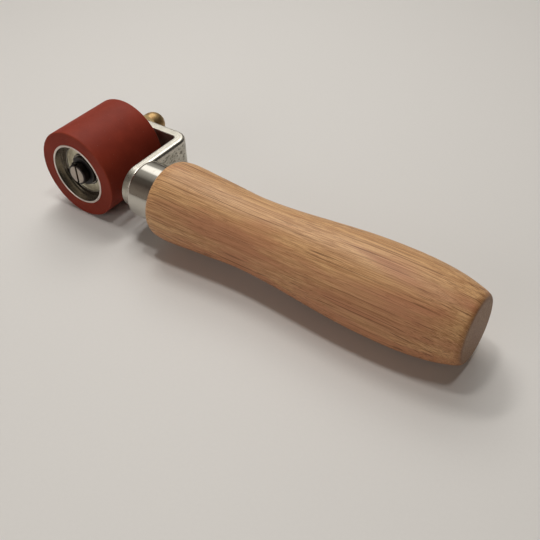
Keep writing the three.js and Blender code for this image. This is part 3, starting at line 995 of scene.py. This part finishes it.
def buildBracket():
    # rows run from the inner face's middle out to the rim, round its two rounded edges, and back on the
    # outer face; the last rows are the walls of the two holes
    thick, small, large, lip = bar["thick"], bar["innerRound"], bar["outerRound"], bar["lip"]
    u, v, inU, inV = barRim()
    axleHole, screwHole, sink = bar["axleHole"], bar["screwHole"], bar["sink"]
    rows, marks = [], []

    def faceRow(share, inside, inset, n):
        q, w = inside
        rows.append(bendBar(q + (u + inU * inset - q) * share, w + (v + inV * inset - w) * share, 0 * u + n))
        marks.append(0 * u)

    def rimRow(inset, n, mark):
        rows.append(bendBar(u + inU * inset, v + inV * inset, 0 * u + n))
        marks.append(0 * u + mark)

    lower = barInside(axleHole + lip, sink)
    upper = barInside(axleHole + lip, screwHole + lip)
    for share in np.linspace(0, 1, 8):
        faceRow(share, lower, small, 0.0)
    for a in np.linspace(0, np.pi / 2, 6)[1:]:
        rimRow(small * (1 - math.sin(a)), small * (1 - math.cos(a)), 0.6)
    for n in np.linspace(small, thick - large, 6)[1:-1]:
        rimRow(0.0, n, 0.35)
    for a in np.linspace(0, np.pi / 2, 10):
        rimRow(large * (1 - math.cos(a)), thick - large + large * math.sin(a), 1.0)
    for share in np.linspace(1, 0, 8)[1:]:
        faceRow(share, upper, large, thick)
    solidRows = len(rows)
    cone = (sink - screwHole) / bar["sinkDeep"]
    walls = [(axleHole, screwHole, thick - lip), (axleHole, screwHole, (thick + bar["sinkDeep"]) / 2),
             (axleHole, screwHole, bar["sinkDeep"]), (axleHole, sink - cone * lip, lip)]
    for armHole, plateHole, n in walls:
        q, w = barInside(armHole, plateHole)
        rows.append(bendBar(q, w, 0 * u + n))
        marks.append(0 * u + 0.5)
    points = np.stack(rows)
    _, _, far = barShape()
    nearHole = (u <= bar["holeReach"] + 1e-9) | (u >= far - bar["holeReach"] - 1e-9)
    wallSpan = nearHole & np.roll(nearHole, -1)
    keep = np.repeat(wallSpan[None, :], len(rows), 0)
    keep[:solidRows - 1] = True
    quads = gridQuads(len(rows), len(u), True)[keep]
    mesh = quadMesh("bracket", toWorld(points.reshape(-1, 3)), quads, np.stack(marks))
    piece("bentBracket", mesh, "frame", "plating", "bracket", sharp=38)


capPiece = {"face": 26.42, "end": 37.67, "outer": 10.2, "wall": 0.9, "corner": 1.5, "hole": 2.8}


def buildFerrule():
    # a drawn cup: outside, rolled rim, inside and the hole for the screw
    face, end, outer = capPiece["face"], capPiece["end"], capPiece["outer"]
    inside = outer - capPiece["wall"]
    floor = face + capPiece["wall"]
    corners = [(capPiece["hole"], face, 0.15), (outer, face, capPiece["corner"]), (outer, end, 0.3),
               (inside, end, 0.12), (inside, floor, 0.8), (capPiece["hole"], floor, 0.1)]
    mesh = spun("ferrule", filled(softOutline(corners, steps=10), 0.6), "grip", 224)
    piece("drawnFerrule", mesh, "frame", "ferrule", "ferrule")


screw = {
    "face": 22.52, "head": 4.5, "headHigh": 2.55, "shank": 2.3, "threadFrom": 42.0, "taper": 66.0,
    "end": 72.0, "pitch": 1.9, "tooth": 0.28, "slotWide": 1.1, "slotDeep": 1.2,
}


def buildScrew():
    # a countersunk head, a plain shank, and a thread that runs out on the point
    face, head, shank = screw["face"], screw["head"], screw["shank"]
    neck = face + screw["headHigh"]
    top = softOutline([(0, face, 0), (head, face, 0.12), (shank, neck, 0.4),
                       (shank, screw["threadFrom"] - 1, 0)], closed=False)
    thread = marked([(shank, p) for p in np.arange(screw["threadFrom"] - 0.8, screw["taper"], 0.15)])
    tip = [(shank * math.sqrt(1 - s), screw["taper"] + s * (screw["end"] - screw["taper"]))
           for s in np.linspace(0, 1, 40)]
    profile = filled(np.vstack([top, thread, marked(tip)]), 2.0, closed=False)
    lift = threadLift(screw["tooth"], screw["pitch"], screw["threadFrom"], screw["end"])
    mesh = spun("screw", profile, "grip", 72, lift)
    wide, deep = screw["slotWide"] / 2, face + screw["slotDeep"]
    slot = [(face - 1, -wide), (deep, -wide), (deep, wide), (face - 1, wide)]
    cutter = prismMesh(slot, -2 * head, 2 * head, lambda a, b, c: np.stack([a, b + gripAcross, c], -1))
    piece("handleScrew", carve(mesh, cutter), "frame", "screwZinc", "handle_screw")


grip = {
    "tenonEnd": 27.34, "tenon": 9.2, "shoulder": 37.7, "pilot": 2.45, "pilotEnd": 73.0, "pilotTip": 75.0,
    "outline": [(37.7, 12.1), (37.95, 12.75), (38.6, 13.3), (40.2, 13.8), (45, 14.0), (60, 13.03),
                (73, 12.25), (86, 12.67), (100, 13.8), (112, 14.7), (123, 15.0), (134, 14.7), (143, 13.6),
                (149, 12.1), (151.2, 11.3), (152.05, 10.65), (152.3, 9.9)],
    "steps": 16, "turns": 224, "buttFrom": 150.6,
}


def buildGrip():
    # (place, radius) stops joined by one smooth curve, with a tenon and a pilot bore inside
    end = grip["outline"][-1][0]
    core = softOutline([(0, grip["pilotTip"], 0), (grip["pilot"], grip["pilotEnd"], 0), (grip["pilot"],
                        grip["tenonEnd"], 0.2), (grip["tenon"], grip["tenonEnd"], 0.7),
                        (grip["tenon"], grip["shoulder"], 0.1), (11.8, grip["shoulder"], 0)], closed=False)
    side = splineThrough(np.array(grip["outline"]), grip["steps"])[:, ::-1]
    edge = np.clip((side[:, 1:] - grip["buttFrom"]) / 0.8, 0, 1)
    flat = marked([(r, end) for r in (9.2, 8, 6.5, 5, 3.5, 2, 0.8, 0)])
    profile = np.vstack([filled(core, 2.0, closed=False), np.hstack([side, edge]), flat])
    mesh = spun("grip", profile, "grip", grip["turns"])
    piece("turnedGrip", mesh, "frame", "beech", "wood_handle")


buildBracket()
buildFerrule()
buildScrew()
buildGrip()
print("bracket, ferrule, screw and grip built")
